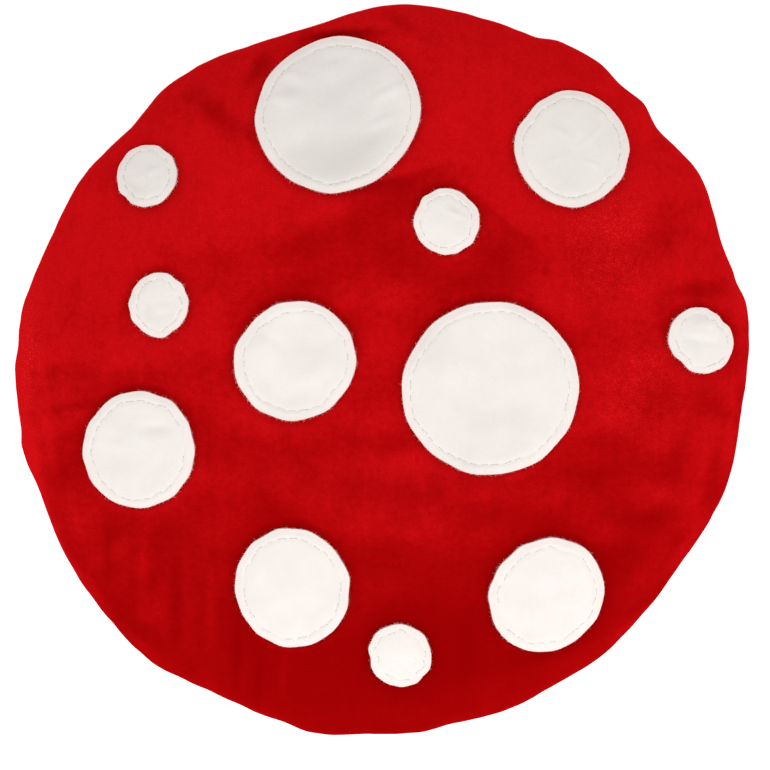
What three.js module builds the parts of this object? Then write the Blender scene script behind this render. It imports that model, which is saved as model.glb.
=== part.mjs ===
// A soft mushroom hat: a wide, low cap of red velour with white felt spots sewn on top.
// It lies on a table. Millimetres, +Z up, +Y towards the back of the hat, origin under
// the middle of the cap at the height of the table.
//
// The cap is two cloth panels that meet in a seam under the rolled rim. The lower panel is
// a flat ring, and a short band stands in its opening, where the head goes in.

import * as THREE from "three";

// Driving dimensions, in millimetres
const capDiameter = 400; // across the rolled rim, before its scallops
const crownHeight = 58; // table to the top of the cap, were its middle not slack
const middleSlack = 8; // how far the middle sinks, where no ring or band is below it
const rimHeight = 13; // table to the widest line of the rim
const seamHeight = 3.5; // table to the underside of the rim seam
const seamTuck = 9; // how far the rim seam lies in from the widest line
const clothWall = 2.4; // velour with its backing
const feltWall = 1.8;
const sewingGap = 0.3; // between two pieces that are sewn edge to edge
const spotLift = 0.6; // between the velour and a felt spot
const headOpening = 164; // across the inside of the head band
const bandHeight = 24;
const bandWall = 2.2;
const curlWidth = 16; // the outer strip of the lower panel, which curls up to the seam
const scallopReach = 10; // how far a full bump of the rim reaches past the cap's radius
const gatherDepth = 1.8; // the deepest gather at the rim
const slumpDepth = 3; // the deepest broad hollow of the top
const dimpleDepth = 1.6; // how far the sewing pulls a spot into the velour
const dimpleWidth = 15; // over which the velour rises again around a spot
const largeSpot = 92; // across a cut felt disc
const mediumSpot = 63;
const smallSpot = 35;
const cutSlip = 2; // how much wider a felt spot is where the scissors strayed
const flatDepth = 0.6; // how far a straighter side of a felt spot lies in
const flatSpread = 30; // half the width of such a side, in degrees

const capRadius = capDiameter / 2;
const openingRadius = headOpening / 2;

// Shape of the cap's section: a flatter middle and a rounder shoulder
const middleFullness = 2.6;
const shoulderFullness = 1.6;
const slackStart = 0.5; // the slack fades out between these shares of the opening's radius
const slackEnd = 1.15;
const scallopStart = 0.4; // share of the radius past which the scallops begin
const dimpleInside = 0.35; // share of the dimple's slope that lies under the felt
const rollStart = 0.9; // share of the way out where the rolled rim takes over from the top

// The rim seen from above: how far it reaches past the cap's radius at each bump and hollow,
// in shares of scallopReach. Angles run from +X towards +Y.
const rimScallops = [
  { deg: 10, out: 0.15 },
  { deg: 15, out: -0.15 },
  { deg: 20, out: -0.25 },
  { deg: 32, out: 0.3 },
  { deg: 41, out: -0.05 },
  { deg: 46, out: 0.35 },
  { deg: 50, out: 0.25 },
  { deg: 55, out: 0.5 },
  { deg: 61, out: 0.4 },
  { deg: 66, out: -0.05 },
  { deg: 86, out: 0 },
  { deg: 104, out: -0.9 },
  { deg: 110, out: -0.9 },
  { deg: 123, out: -0.55 },
  { deg: 127, out: -0.55 },
  { deg: 136, out: -0.9 },
  { deg: 149, out: -0.5 },
  { deg: 157, out: -0.5 },
  { deg: 173, out: 0 },
  { deg: 176, out: -0.05 },
  { deg: 180, out: 0.1 },
  { deg: 189, out: 0 },
  { deg: 192, out: 0.15 },
  { deg: 200, out: -0.1 },
  { deg: 216, out: 0.15 },
  { deg: 231, out: 0.35 },
  { deg: 243, out: -0.1 },
  { deg: 253, out: -0.05 },
  { deg: 259, out: 0.2 },
  { deg: 268, out: -0.1 },
  { deg: 275, out: -0.1 },
  { deg: 281, out: -0.3 },
  { deg: 290, out: -0.25 },
  { deg: 299, out: -0.4 },
  { deg: 307, out: -0.35 },
  { deg: 318, out: -0.55 },
  { deg: 326, out: -0.6 },
  { deg: 342, out: -0.2 },
  { deg: 352, out: -0.3 },
];

// The gathers that run in from the rim seam. Depth is a share of gatherDepth, spread is the
// half width in degrees, and run is a share of the cap's radius.
const rimGathers = [
  { deg: 20, depth: 0.8, spread: 4, run: 0.2 },
  { deg: 41, depth: 1, spread: 4, run: 0.25 },
  { deg: 74, depth: 0.6, spread: 5, run: 0.25 },
  { deg: 90, depth: 0.7, spread: 4, run: 0.15 },
  { deg: 107, depth: 1, spread: 5, run: 0.2 },
  { deg: 123, depth: 0.7, spread: 4, run: 0.3 },
  { deg: 136, depth: 0.9, spread: 4, run: 0.15 },
  { deg: 153, depth: 0.7, spread: 4, run: 0.3 },
  { deg: 166, depth: 0.8, spread: 4, run: 0.35 },
  { deg: 182, depth: 0.6, spread: 4, run: 0.25 },
  { deg: 200, depth: 1, spread: 5, run: 0.25 },
  { deg: 212, depth: 0.7, spread: 4, run: 0.3 },
  { deg: 224, depth: 0.8, spread: 4, run: 0.35 },
  { deg: 236, depth: 0.9, spread: 4, run: 0.35 },
  { deg: 246, depth: 1, spread: 4, run: 0.3 },
  { deg: 258, depth: 0.6, spread: 4, run: 0.3 },
  { deg: 270, depth: 0.8, spread: 4, run: 0.2 },
  { deg: 284, depth: 0.9, spread: 4, run: 0.35 },
  { deg: 299, depth: 0.7, spread: 5, run: 0.2 },
  { deg: 324, depth: 1, spread: 5, run: 0.35 },
  { deg: 338, depth: 0.6, spread: 4, run: 0.25 },
  { deg: 352, depth: 0.9, spread: 4, run: 0.2 },
];

// Broad hollows of the slack top, and swells where depth is negative. Places and spreads are
// shares of the cap's radius, and depth is a share of slumpDepth.
const slumps = [
  { x: -0.12, y: 0.84, depth: 1, spread: 0.2 },
  { x: 0.1, y: 0.46, depth: 0.5, spread: 0.17 },
  { x: -0.38, y: 0.2, depth: 0.5, spread: 0.16 },
  { x: 0.44, y: 0.24, depth: 0.5, spread: 0.18 },
  { x: 0.56, y: -0.32, depth: 0.6, spread: 0.18 },
  { x: -0.5, y: 0.38, depth: -0.5, spread: 0.22 },
  { x: 0.66, y: 0.3, depth: -0.5, spread: 0.2 },
  { x: 0.06, y: -0.42, depth: -0.6, spread: 0.2 },
  { x: -0.5, y: -0.45, depth: 0.5, spread: 0.2 },
];

// The felt spots seen from above. Each is cut to about one of three sizes, with its middle at
// x, y in shares of the cap's radius. Wide and tall say how much its sizes along X and Y differ
// from that size, rising and falling the same for the two diagonals, in shares of cutSlip.
// Flats are the directions in which the scissors cut it straighter.
const spotCuts = [
  { name: "spot_large_back", size: largeSpot, x: -0.12, y: 0.6825,
    wide: -2, tall: -2.5, rising: -1.5, falling: -4, flats: [65, 320] },
  { name: "spot_large_middle", size: largeSpot, x: 0.2825, y: -0.05,
    wide: 0.75, tall: -0.25, rising: 0.25, falling: -0.25, flats: [150] },
  { name: "spot_medium_back", size: mediumSpot, x: 0.5025, y: 0.5875,
    wide: -0.25, tall: 0.25, rising: -0.25, falling: -1, flats: [140, 210] },
  { name: "spot_medium_middle", size: mediumSpot, x: -0.2325, y: 0.0225,
    wide: 0.75, tall: 0.25, rising: 0.75, falling: -0.5, flats: [140] },
  { name: "spot_medium_left", size: mediumSpot, x: -0.6475, y: -0.2125,
    wide: -1, tall: -0.5, rising: -0.5, falling: -1, flats: [15, 145] },
  { name: "spot_medium_front_left", size: mediumSpot, x: -0.24, y: -0.5775,
    wide: -1, tall: 0.5, rising: -0.5, falling: 0, flats: [50, 210] },
  { name: "spot_medium_front_right", size: mediumSpot, x: 0.435, y: -0.6,
    wide: -0.5, tall: -0.5, rising: 0.5, falling: -1.25, flats: [125, 310] },
  { name: "spot_small_back_left", size: smallSpot, x: -0.63, y: 0.5175,
    wide: -0.75, tall: -0.5, rising: -0.75, falling: -0.5, flats: [315] },
  { name: "spot_small_back", size: smallSpot, x: 0.1675, y: 0.39,
    wide: 0, tall: 0, rising: -0.25, falling: 0, flats: [50, 155] },
  { name: "spot_small_left", size: smallSpot, x: -0.5925, y: 0.17,
    wide: -1.5, tall: -0.25, rising: -1, falling: -1.25, flats: [235, 310] },
  { name: "spot_small_right", size: smallSpot, x: 0.85, y: 0.0775,
    wide: 1, tall: 0.25, rising: -0.75, falling: 1, flats: [50, 225] },
  { name: "spot_small_front", size: smallSpot, x: 0.045, y: -0.76,
    wide: -0.75, tall: -0.25, rising: -0.75, falling: 0.25, flats: [185, 310] },
];

// How finely the cloth is faceted
const roundSteps = 96; // sides of the cap and of the lower panel
const domeSteps = 17; // outer rings from the middle to the widest line
const liningSteps = 7; // inner rings over the same stretch
const rollSteps = 3; // rings around the rolled rim, below the widest line
const bandSteps = 56;
const spotChord = 7.5; // length of a side of a felt spot
const spotRingGap = 12; // between the rings of a spot

const degrees = THREE.MathUtils.degToRad;
const ease = THREE.MathUtils.smoothstep;
const up = new THREE.Vector3(0, 0, 1);

// A bell of height 1 at 0, which falls to nothing past one spread
function bell(distance, spread) {
  return 1 - ease(Math.abs(distance), 0, spread);
}

// The signed turn from angle b to angle a, in radians, the short way round
function turnBetween(a, b) {
  return Math.atan2(Math.sin(a - b), Math.cos(a - b));
}

// How far the rim reaches out at an angle, as a share of scallopReach, eased from each row of
// rimScallops to the next
function rimOut(angle) {
  const fullTurn = 360;
  const deg = THREE.MathUtils.euclideanModulo(THREE.MathUtils.radToDeg(angle) - rimScallops[0].deg, fullTurn);
  for (let i = 0; i < rimScallops.length; i++) {
    const here = rimScallops[i];
    const next = rimScallops[(i + 1) % rimScallops.length];
    const from = here.deg - rimScallops[0].deg;
    const to = i + 1 < rimScallops.length ? next.deg - rimScallops[0].deg : fullTurn;
    if (deg <= to) return THREE.MathUtils.lerp(here.out, next.out, ease(deg, from, to));
  }
  return rimScallops[0].out;
}

// The radius of the cap at an angle, for a share of the way out from the middle
function planRadius(share, angle) {
  return share * (capRadius + scallopReach * rimOut(angle) * ease(share, scallopStart, 1));
}

// A spot's radius seen from above, in a direction from its middle: a smooth curve through its
// four sizes, drawn in at its flats
function spotRadius(cut, angle) {
  const [wide, tall, rising, falling] = [cut.wide, cut.tall, cut.rising, cut.falling].map(
    (share) => cut.size + cutSlip * share,
  );
  const mean = (wide + tall + rising + falling) / 8;
  const oval = ((wide - tall) * Math.cos(2 * angle) + (rising - falling) * Math.sin(2 * angle)) / 4;
  const square = ((wide + tall - rising - falling) / 8) * Math.cos(4 * angle);
  const flat = (deg) => bell(turnBetween(angle, degrees(deg)), degrees(flatSpread));
  return mean + oval + square - flatDepth * cut.flats.reduce((sum, deg) => sum + flat(deg), 0);
}

// The smooth top without folds. Along runs 0 to 1 from the middle to the widest line, and
// 1 to 2 around the rolled rim to the seam.
function plainCap(along, angle) {
  if (along > 1) {
    const turn = (along - 1) * (Math.PI / 2);
    const radius = planRadius(1, angle) - seamTuck * (1 - Math.cos(turn));
    const height = rimHeight - (rimHeight - seamHeight) * Math.sin(turn);
    return new THREE.Vector3(radius * Math.cos(angle), radius * Math.sin(angle), height);
  }
  const share = 1 - (1 - along) ** shoulderFullness;
  const rise = (1 - share ** middleFullness) ** (1 / shoulderFullness);
  const radius = planRadius(share, angle);
  const slack = middleSlack * (1 - ease(radius, openingRadius * slackStart, openingRadius * slackEnd));
  const height = rimHeight + (crownHeight - rimHeight) * rise - slack;
  return new THREE.Vector3(radius * Math.cos(angle), radius * Math.sin(angle), height);
}

// The outward normal of a surface of two parameters, from points close by on it
function normalOf(surface, along, angle) {
  const step = 1e-3;
  const before = Math.max(along - step, 1e-6);
  const out = surface(along + step, angle).sub(surface(before, angle));
  const offMiddle = Math.max(along, step);
  const around = surface(offMiddle, angle + step).sub(surface(offMiddle, angle - step));
  return along < step ? up.clone() : out.cross(around).normalize();
}

// How much a sewn spot pulls in the cloth at a point: 1 under it, falling to 0 around it
function spotPull(point) {
  let pull = 0;
  for (const cut of spotCuts) {
    const dx = point.x - cut.x * capRadius;
    const dy = point.y - cut.y * capRadius;
    const beyond = Math.hypot(dx, dy) - spotRadius(cut, Math.atan2(dy, dx));
    pull = Math.max(pull, 1 - ease(beyond, -dimpleInside * dimpleWidth, dimpleWidth));
  }
  return pull;
}

// How deep the gathers are at a point of the plain cap
function gatherDip(point, along, angle) {
  const out = Math.hypot(point.x, point.y) / planRadius(1, angle);
  let dip = 0;
  for (const fold of rimGathers) {
    const across = bell(turnBetween(angle, degrees(fold.deg)), degrees(fold.spread));
    dip += fold.depth * across * ease(out, 1 - fold.run, 1);
  }
  return gatherDepth * dip * (1 - ease(along, 1, 2));
}

// How deep the broad hollows are at a point of the plain cap
function slumpDip(point) {
  let dip = 0;
  for (const slump of slumps) {
    const away = Math.hypot(point.x - slump.x * capRadius, point.y - slump.y * capRadius);
    dip += slump.depth * bell(away, slump.spread * capRadius);
  }
  return slumpDepth * dip;
}

// How far all of these sink the cloth. Felt flattens the gathers that would run under it,
// and the hollows end at the rolled rim.
function foldDepth(point, along, angle) {
  const pull = spotPull(point);
  const onTop = 1 - ease(along, rollStart, 1);
  return gatherDip(point, along, angle) * (1 - pull) + (slumpDip(point) + dimpleDepth * pull) * onTop;
}

// The outer face of the top panel, with its folds
function capSkin(along, angle) {
  const point = plainCap(along, angle);
  return point.addScaledVector(normalOf(plainCap, along, angle), -foldDepth(point, along, angle));
}

// Rings of points skinned into one closed geometry. A ring of one point is a pole. A skin
// with no poles closes from its last ring to its first.
function skinRings(rings) {
  const positions = rings.flat().flatMap((p) => [p.x, p.y, p.z]);
  const starts = [];
  let count = 0;
  for (const ring of rings) {
    starts.push(count);
    count += ring.length;
  }
  const index = [];
  const hasPoles = rings[0].length === 1;
  const bands = hasPoles ? rings.length - 1 : rings.length;
  for (let i = 0; i < bands; i++) {
    const next = (i + 1) % rings.length;
    const sides = Math.max(rings[i].length, rings[next].length);
    for (let k = 0; k < sides; k++) {
      const after = (k + 1) % sides;
      const corner = (ring, step) => starts[ring] + (rings[ring].length === 1 ? 0 : step);
      if (rings[i].length > 1) index.push(corner(i, k), corner(next, k), corner(i, after));
      if (rings[next].length > 1) index.push(corner(i, after), corner(next, k), corner(next, after));
    }
  }
  const geometry = new THREE.BufferGeometry();
  geometry.setAttribute("position", new THREE.Float32BufferAttribute(positions, 3));
  geometry.setIndex(index);
  geometry.computeVertexNormals();
  return geometry;
}

// One ring of points, one for each step around
function ringOf(steps, pointAt) {
  return Array.from({ length: steps }, (_, k) => pointAt((k / steps) * 2 * Math.PI));
}

// The top panel: its outer rings from the middle to the seam, then its inner rings back
function capTop() {
  const outside = [];
  const inside = [];
  for (let i = 1; i <= domeSteps; i++) outside.push(i / domeSteps);
  for (let i = 1; i <= liningSteps; i++) inside.push(i / liningSteps);
  for (let i = 1; i <= rollSteps; i++) {
    outside.push(1 + i / rollSteps);
    inside.push(1 + i / rollSteps);
  }
  const lining = (along, angle) =>
    capSkin(along, angle).addScaledVector(normalOf(capSkin, along, angle), -clothWall);
  return skinRings([
    [capSkin(0, 0)],
    ...outside.map((along) => ringOf(roundSteps, (angle) => capSkin(along, angle))),
    ...inside.reverse().map((along) => ringOf(roundSteps, (angle) => lining(along, angle))),
    [capSkin(0, 0).addScaledVector(up, -clothWall)],
  ]);
}

// The lower panel: a flat ring from the band to the rim seam, curled up at its outer edge
function capUnder() {
  const inner = openingRadius + bandWall + sewingGap;
  const flatShares = [0, 1];
  const curlShares = [0.5, 1];
  const place = (angle, radius, height) =>
    new THREE.Vector3(radius * Math.cos(angle), radius * Math.sin(angle), height);
  const outer = (angle) => planRadius(1, angle) - seamTuck - sewingGap;
  const flat = (share, height) => (angle) =>
    place(angle, THREE.MathUtils.lerp(inner, outer(angle) - curlWidth, share), height);
  const curl = (share, height) => (angle) =>
    place(angle, outer(angle) - curlWidth * (1 - share), height + seamHeight * share ** 2);
  const face = (height) => [
    ...flatShares.map((share) => flat(share, height)),
    ...curlShares.map((share) => curl(share, height)),
  ];
  const rings = [...face(clothWall), ...face(0).reverse()];
  return skinRings(rings.map((pointAt) => ringOf(roundSteps, pointAt)));
}

// The head band: a short upright ring in the opening, a little drawn in at its upper edge
function headBand() {
  const drawnIn = 0.02; // share of the opening's radius
  const shares = [0, 0.4, 0.75, 1];
  const wall = (extra) => (share) => (angle) => {
    const radius = openingRadius * (1 - drawnIn * (1 - Math.cos((share * Math.PI) / 2))) + extra;
    return new THREE.Vector3(radius * Math.cos(angle), radius * Math.sin(angle), bandHeight * share);
  };
  const rings = [...shares.map(wall(0)), ...shares.toReversed().map(wall(bandWall))];
  return skinRings(rings.map((pointAt) => ringOf(bandSteps, pointAt)));
}

// The facet of a mesh below a place seen from above: the point on it, and the normal there
const probe = new THREE.Raycaster();
function landOn(mesh, x, y) {
  probe.set(new THREE.Vector3(x, y, 2 * crownHeight), up.clone().negate());
  const [hit] = probe.intersectObject(mesh);
  return hit;
}

// A felt spot: its upper face, then its lower face, both following the cap below it
function feltSpot(cut, cap) {
  const sides = Math.ceil((Math.PI * cut.size) / spotChord);
  const steps = Math.ceil(cut.size / 2 / spotRingGap);
  const shares = Array.from({ length: steps }, (_, i) => (i + 1) / steps);
  const layer = (share, lift) => (angle) => {
    const radius = spotRadius(cut, angle) * share;
    const x = cut.x * capRadius + radius * Math.cos(angle);
    const y = cut.y * capRadius + radius * Math.sin(angle);
    const { point, normal } = landOn(cap, x, y);
    return point.clone().addScaledVector(normal, lift);
  };
  const above = spotLift + feltWall;
  return skinRings([
    [layer(0, above)(0)],
    ...shares.map((share) => ringOf(sides, layer(share, above))),
    ...shares.toReversed().map((share) => ringOf(sides, layer(share, spotLift))),
    [layer(0, spotLift)(0)],
  ]);
}

const velour = new THREE.MeshStandardMaterial({ color: 0xbe0a10, roughness: 0.9, metalness: 0 });
const lowerVelour = velour.clone();
const bandVelour = velour.clone();
const felt = new THREE.MeshStandardMaterial({ color: 0xf6f1ea, roughness: 1, metalness: 0 });

// A named piece of the hat
function piece(name, geometry, material) {
  const mesh = new THREE.Mesh(geometry, material);
  mesh.name = name;
  return mesh;
}

const hat = new THREE.Group();
const cap = piece("cap_top", capTop(), velour);
hat.add(cap);
hat.add(piece("cap_under", capUnder(), lowerVelour));
hat.add(piece("head_band", headBand(), bandVelour));
for (const cut of spotCuts) hat.add(piece(cut.name, feltSpot(cut, cap), felt.clone()));

// The scalloped rim isn't quite centred on the head opening, and the origin is the middle of
// the whole hat.
const middle = new THREE.Box3().setFromObject(hat).getCenter(new THREE.Vector3());
hat.position.set(-middle.x, -middle.y, 0);

const part = new THREE.Group();
part.add(hat);
export default part;
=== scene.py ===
"""A soft mushroom hat: red velour cap with white felt spots sewn on, lying on a pale table.

Metres, +Z up, +Y towards the back of the hat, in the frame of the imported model.
"""
import math
from collections import namedtuple

import bpy
import numpy as np
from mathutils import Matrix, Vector
from mathutils.bvhtree import BVHTree


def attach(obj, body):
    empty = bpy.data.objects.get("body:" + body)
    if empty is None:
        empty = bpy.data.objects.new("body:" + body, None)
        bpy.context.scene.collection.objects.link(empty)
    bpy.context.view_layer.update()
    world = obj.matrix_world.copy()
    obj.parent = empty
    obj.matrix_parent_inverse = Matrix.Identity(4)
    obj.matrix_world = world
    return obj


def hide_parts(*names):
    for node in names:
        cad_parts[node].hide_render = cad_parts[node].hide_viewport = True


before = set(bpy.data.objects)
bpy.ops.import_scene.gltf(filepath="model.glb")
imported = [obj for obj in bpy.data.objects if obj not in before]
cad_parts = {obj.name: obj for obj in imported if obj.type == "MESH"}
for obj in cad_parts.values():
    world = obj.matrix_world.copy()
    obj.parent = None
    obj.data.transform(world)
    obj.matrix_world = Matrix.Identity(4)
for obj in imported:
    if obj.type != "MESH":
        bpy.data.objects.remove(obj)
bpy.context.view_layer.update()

MM = 0.001

# Driving dimensions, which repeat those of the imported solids
CAP_RADIUS = 200 * MM
CROWN_HEIGHT = 58 * MM
MIDDLE_SLACK = 8 * MM
RIM_HEIGHT = 13 * MM
SEAM_HEIGHT = 3.5 * MM
SEAM_TUCK = 9 * MM
CLOTH_WALL = 2.4 * MM
FELT_WALL = 1.8 * MM
SEWING_GAP = 0.3 * MM
HEAD_OPENING = 164 * MM
BAND_HEIGHT = 24 * MM
BAND_WALL = 2.2 * MM
CURL_WIDTH = 16 * MM
SLUMP_DEPTH = 3 * MM
DIMPLE_WIDTH = 15 * MM
LARGE_SPOT = 92 * MM
MEDIUM_SPOT = 63 * MM
SMALL_SPOT = 35 * MM
FLAT_DEPTH = 0.6 * MM
FLAT_SPREAD = 30

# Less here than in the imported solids: the deepest gather, the dimple under a spot, and the gap
# below the felt
GATHER_DEPTH = 0.9 * MM
SHOWN_DIMPLE = 0.9 * MM
FELT_LIFT = 0.25 * MM

# Shape of the cap's section, and of the gathers near its rim
MIDDLE_FULLNESS = 2.6
SHOULDER_FULLNESS = 1.6
SLACK_START = 0.5
SLACK_END = 1.15
SCALLOP_START = 0.4
DIMPLE_INSIDE = 0.35
ROLL_START = 0.9
GATHER_PEAK = 0.94
GATHER_AT_RIM = 0.3
GATHER_END = 1.25

# Where the photograph was taken from
CAMERA_PLACE = (1.6 * MM, -8.4 * MM, 1180 * MM)
CAMERA_LENS = 100
SENSOR_WIDTH = 36

# The rim seen from above: degrees from +X towards +Y, and how far each bump and hollow reaches
# past the cap's radius, in millimetres
RIM_SCALLOPS = [
    (10, 1.5), (15, -1.5), (20, -2.5), (32, 3), (41, -0.5), (46, 3.5), (50, 2.5), (55, 5),
    (61, 4), (66, -0.5), (86, 0), (104, -9), (110, -9), (123, -5.5), (127, -5.5), (136, -9),
    (149, -5), (157, -5), (173, 0), (176, -0.5), (180, 1), (189, 0), (192, 1.5), (200, -1),
    (216, 1.5), (231, 3.5), (243, -1), (253, -0.5), (259, 2), (268, -1), (275, -1), (281, -3),
    (290, -2.5), (299, -4), (307, -3.5), (318, -5.5), (326, -6), (342, -2), (352, -3),
]

# Gathers that run in from the rim seam: degrees, share of GATHER_DEPTH, half width in
# degrees, and run as a share of the radius
RIM_GATHERS = [
    (20, 0.8, 4, 0.2), (41, 1.0, 4, 0.25), (74, 0.6, 5, 0.25), (90, 0.7, 4, 0.15),
    (107, 1.0, 5, 0.2), (123, 0.7, 4, 0.3), (136, 0.9, 4, 0.15), (153, 0.7, 4, 0.3),
    (166, 0.8, 4, 0.35), (182, 0.6, 4, 0.25), (200, 1.0, 5, 0.25), (212, 0.7, 4, 0.3),
    (224, 0.8, 4, 0.35), (236, 0.9, 4, 0.35), (246, 1.0, 4, 0.3), (258, 0.6, 4, 0.3),
    (270, 0.8, 4, 0.2), (284, 0.9, 4, 0.35), (299, 0.7, 5, 0.2), (324, 1.0, 5, 0.35),
    (338, 0.6, 4, 0.25), (352, 0.9, 4, 0.2),
]

# Broad hollows of the slack top (swells where depth is negative): x, y, depth as a share of
# SLUMP_DEPTH, and spread, the rest in shares of the radius
SLUMPS = [
    (-0.12, 0.84, 1.0, 0.2), (0.1, 0.46, 0.5, 0.17), (-0.38, 0.2, 0.5, 0.16),
    (0.44, 0.24, 0.5, 0.18), (0.56, -0.32, 0.6, 0.18), (-0.5, 0.38, -0.5, 0.22),
    (0.66, 0.3, -0.5, 0.2), (0.06, -0.42, -0.6, 0.2), (-0.5, -0.45, 0.5, 0.2),
]

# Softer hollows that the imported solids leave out, with the same columns
SOFT_HOLLOWS = [(-0.113, 0.7, 1.5, 0.32), (0.5, 0.62, 0.3, 0.2)]

# Felt spots in millimetres, seen from above: node, cut size, middle x and y, how wide along X,
# tall along Y, and across the rising and the falling diagonal, then the directions in which
# the scissors cut it straighter
Spot = namedtuple("Spot", "node cut x y wide tall rising falling flats")
SPOTS = [Spot(*row) for row in [
    ("spot_large_back", LARGE_SPOT, -24, 136.5, 88, 87, 89, 84, (65, 320)),
    ("spot_large_middle", LARGE_SPOT, 56.5, -10, 93.5, 91.5, 92.5, 91.5, (150,)),
    ("spot_medium_back", MEDIUM_SPOT, 100.5, 117.5, 62.5, 63.5, 62.5, 61, (140, 210)),
    ("spot_medium_middle", MEDIUM_SPOT, -46.5, 4.5, 64.5, 63.5, 64.5, 62, (140,)),
    ("spot_medium_left", MEDIUM_SPOT, -129.5, -42.5, 61, 62, 62, 61, (15, 145)),
    ("spot_medium_front_left", MEDIUM_SPOT, -48, -115.5, 61, 64, 62, 63, (50, 210)),
    ("spot_medium_front_right", MEDIUM_SPOT, 87, -120, 62, 62, 64, 60.5, (125, 310)),
    ("spot_small_back_left", SMALL_SPOT, -126, 103.5, 33.5, 34, 33.5, 34, (315,)),
    ("spot_small_back", SMALL_SPOT, 33.5, 78, 35, 35, 34.5, 35, (50, 155)),
    ("spot_small_left", SMALL_SPOT, -118.5, 34, 32, 34.5, 33, 32.5, (235, 310)),
    ("spot_small_right", SMALL_SPOT, 170, 15.5, 37, 35.5, 33.5, 37, (50, 225)),
    ("spot_small_front", SMALL_SPOT, 9, -152, 33.5, 34.5, 33.5, 35.5, (185, 310)),
]]


def ease(x, low, high):
    """A smooth step from 0 at low to 1 at high."""
    t = np.clip((x - low) / (high - low), 0, 1)
    return t * t * (3 - 2 * t)


def bell(distance, spread):
    """1 at 0, falling to nothing one spread away."""
    return 1 - ease(np.abs(distance), 0, spread)


def turn_between(a, b):
    """The signed turn from angle b to angle a, the short way round."""
    return np.arctan2(np.sin(a - b), np.cos(a - b))


def rim_out(angle):
    """How far the rim reaches out at each angle, eased from each row of RIM_SCALLOPS to the
    next."""
    degs = np.array([row[0] for row in RIM_SCALLOPS], float)
    out = np.array([row[1] for row in RIM_SCALLOPS]) * MM
    degs = np.append(degs, degs[0] + 360)
    out = np.append(out, out[0])
    deg = np.mod(np.degrees(angle) - degs[0], 360) + degs[0]
    row = np.clip(np.searchsorted(degs, deg, side="right") - 1, 0, len(degs) - 2)
    share = ease(deg, degs[row], degs[row + 1])
    return out[row] + (out[row + 1] - out[row]) * share


def plan_radius(share, angle):
    """The cap's radius at an angle, for a share of the way out from the middle."""
    return share * (CAP_RADIUS + rim_out(angle) * ease(share, SCALLOP_START, 1))


def plain_cap(along, angle):
    """The top without folds: along is 0 to 1 from the middle to the widest line, and 1 to 2
    round the rolled rim to the seam."""
    share = 1 - (1 - np.minimum(along, 1)) ** SHOULDER_FULLNESS
    rise = (1 - share**MIDDLE_FULLNESS) ** (1 / SHOULDER_FULLNESS)
    radius = plan_radius(share, angle)
    opening = HEAD_OPENING / 2
    slack = MIDDLE_SLACK * (1 - ease(radius, opening * SLACK_START, opening * SLACK_END))
    height = RIM_HEIGHT + (CROWN_HEIGHT - RIM_HEIGHT) * rise - slack
    turn = np.maximum(along - 1, 0) * (math.pi / 2)
    radius = radius - SEAM_TUCK * (1 - np.cos(turn))
    height = height - (RIM_HEIGHT - SEAM_HEIGHT) * np.sin(turn)
    return np.stack([radius * np.cos(angle), radius * np.sin(angle), height], -1)


def normals_of(surface, along, angle):
    """Outward normals of a surface of two parameters."""
    step, turn = 0.012, 1e-3
    inner = np.maximum(along, step)
    out = surface(inner + step, angle) - surface(inner - step, angle)
    around = surface(inner, angle + turn) - surface(inner, angle - turn)
    normal = np.cross(out, around)
    return normal / np.linalg.norm(normal, axis=-1, keepdims=True)


def spot_radius(spot, angle):
    """A spot's radius seen from above, in a direction from its middle: a smooth curve through
    its four sizes, drawn in at its flats."""
    upright, slanting = spot.wide + spot.tall, spot.rising + spot.falling
    mean = (upright + slanting) / 8
    oval = (spot.wide - spot.tall) / 4 * np.cos(2 * angle)
    leaning_oval = (spot.rising - spot.falling) / 4 * np.sin(2 * angle)
    square = (upright - slanting) / 8 * np.cos(4 * angle)
    radius = (mean + oval + leaning_oval + square) * MM
    for deg in spot.flats:
        away = turn_between(angle, math.radians(deg))
        radius = radius - FLAT_DEPTH * bell(away, math.radians(FLAT_SPREAD))
    return radius


def spot_middle(spot):
    """The middle of a spot in metres, before the hat is centred."""
    return spot.x * MM, spot.y * MM


def beyond_spot(spot, x, y):
    """How far a point is outside the edge of a spot, and its direction from the middle."""
    middle_x, middle_y = spot_middle(spot)
    dx, dy = x - middle_x, y - middle_y
    around = np.arctan2(dy, dx)
    return np.hypot(dx, dy) - spot_radius(spot, around), around


def waves(x, y, shortest, longest, count, seed):
    """Smooth seeded ripples of about unit height, between two wavelengths."""
    dice = np.random.default_rng(seed)
    total = 0
    for _ in range(count):
        length = math.exp(dice.uniform(math.log(shortest), math.log(longest)))
        heading, phase = dice.uniform(0, 2 * math.pi, 2)
        k = 2 * math.pi / length
        total = total + np.sin(k * (x * math.cos(heading) + y * math.sin(heading)) + phase)
    return total / math.sqrt(count / 2)


def spot_pull(x, y):
    """How much a sewn spot pulls in the cloth: 1 under it, falling to 0 around it."""
    pull = np.zeros_like(x)
    for spot in SPOTS:
        beyond, _ = beyond_spot(spot, x, y)
        pull = np.maximum(pull, 1 - ease(beyond, -DIMPLE_INSIDE * DIMPLE_WIDTH, DIMPLE_WIDTH))
    return pull


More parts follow.
